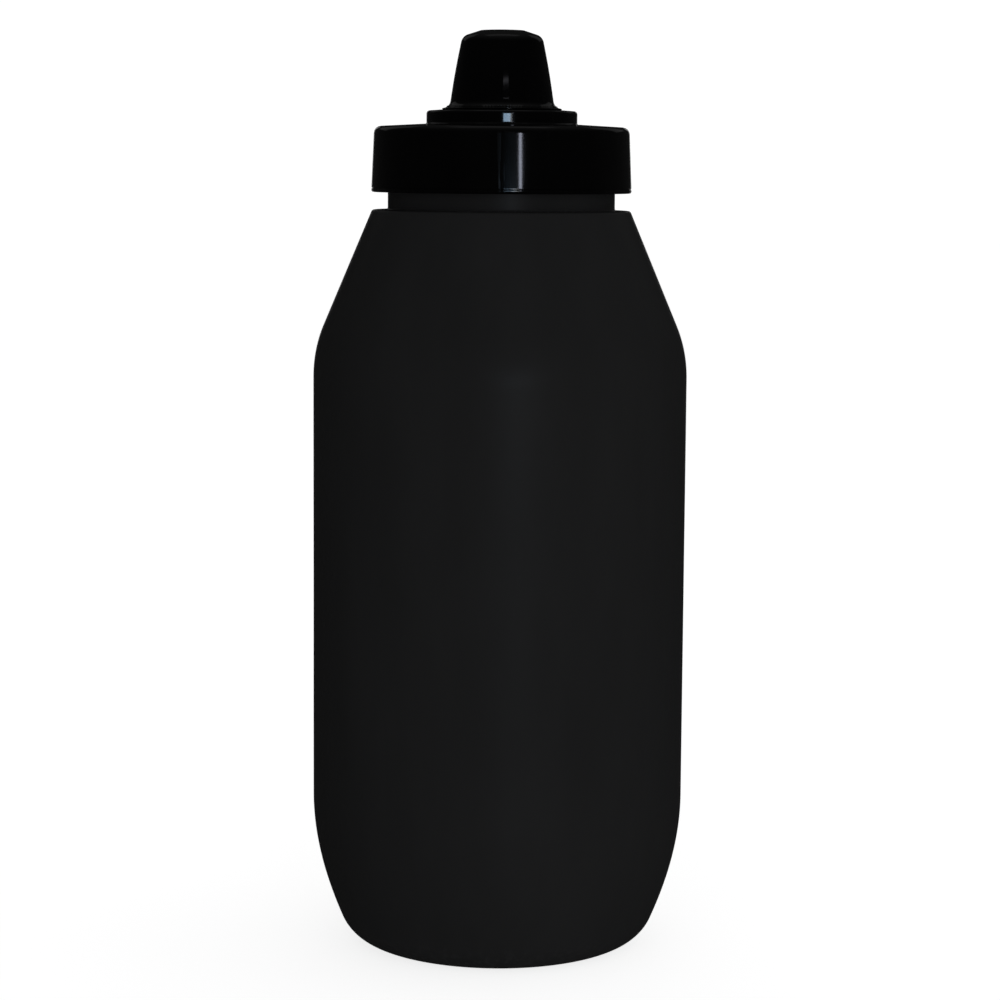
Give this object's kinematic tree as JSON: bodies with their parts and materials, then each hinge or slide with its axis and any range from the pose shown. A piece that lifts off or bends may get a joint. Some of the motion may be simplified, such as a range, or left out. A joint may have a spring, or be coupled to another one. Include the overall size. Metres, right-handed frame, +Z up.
{
  "type": "sports squeeze bottle",
  "caption": "Stout black squeeze bottle with a sloping shoulder, a plain round screw cap with a raised platform, and a tapered push-pull nozzle.",
  "frame": {"origin": "centre of the ring that the bottle stands on", "axes": "+Z up along the bottle's axis, towards the nozzle"},
  "size_m": [0.0844, 0.0844, 0.2069],
  "materials": {
    "body_plastic": "satin black polyethylene",
    "cap_plastic": "glossy black polypropylene",
    "nozzle_plastic": "glossy black, slightly soft",
    "core_plastic": "plain black polypropylene",
    "stem_plastic": "plain black polypropylene",
    "gasket_rubber": "dark grey silicone rubber",
    "valve_silicone": "milky silicone"
  },
  "bodies": {
    "bottle": {"bottle_body": "body_plastic"},
    "gasket": {"cap_gasket": "gasket_rubber"},
    "cap": {"screw_cap": "cap_plastic", "nozzle_stem": "stem_plastic", "stem_seal_ring": "gasket_rubber", "valve_membrane": "valve_silicone", "valve_retainer": "stem_plastic"},
    "nozzle": {"nozzle_core": "core_plastic", "nozzle_cover": "nozzle_plastic"}
  },
  "joints": [
    {"name": "cap_rise", "type": "slide", "parent": "bottle", "child": "gasket", "axis": [0, 0, 1], "range_m": [0, 0.012]},
    {"name": "cap_turn", "type": "hinge", "parent": "gasket", "child": "cap", "pos_m": [0, 0, 0.175], "axis": [0, 0, 1], "range_deg": [0, 1080]},
    {"name": "nozzle_slide", "type": "slide", "parent": "cap", "child": "nozzle", "axis": [0, 0, 1], "range_m": [0, 0.0067]}
  ],
  "couplings": [
    {"joint": "cap_turn", "follows": "cap_rise", "rad_per_m": 1570.8}
  ]
}
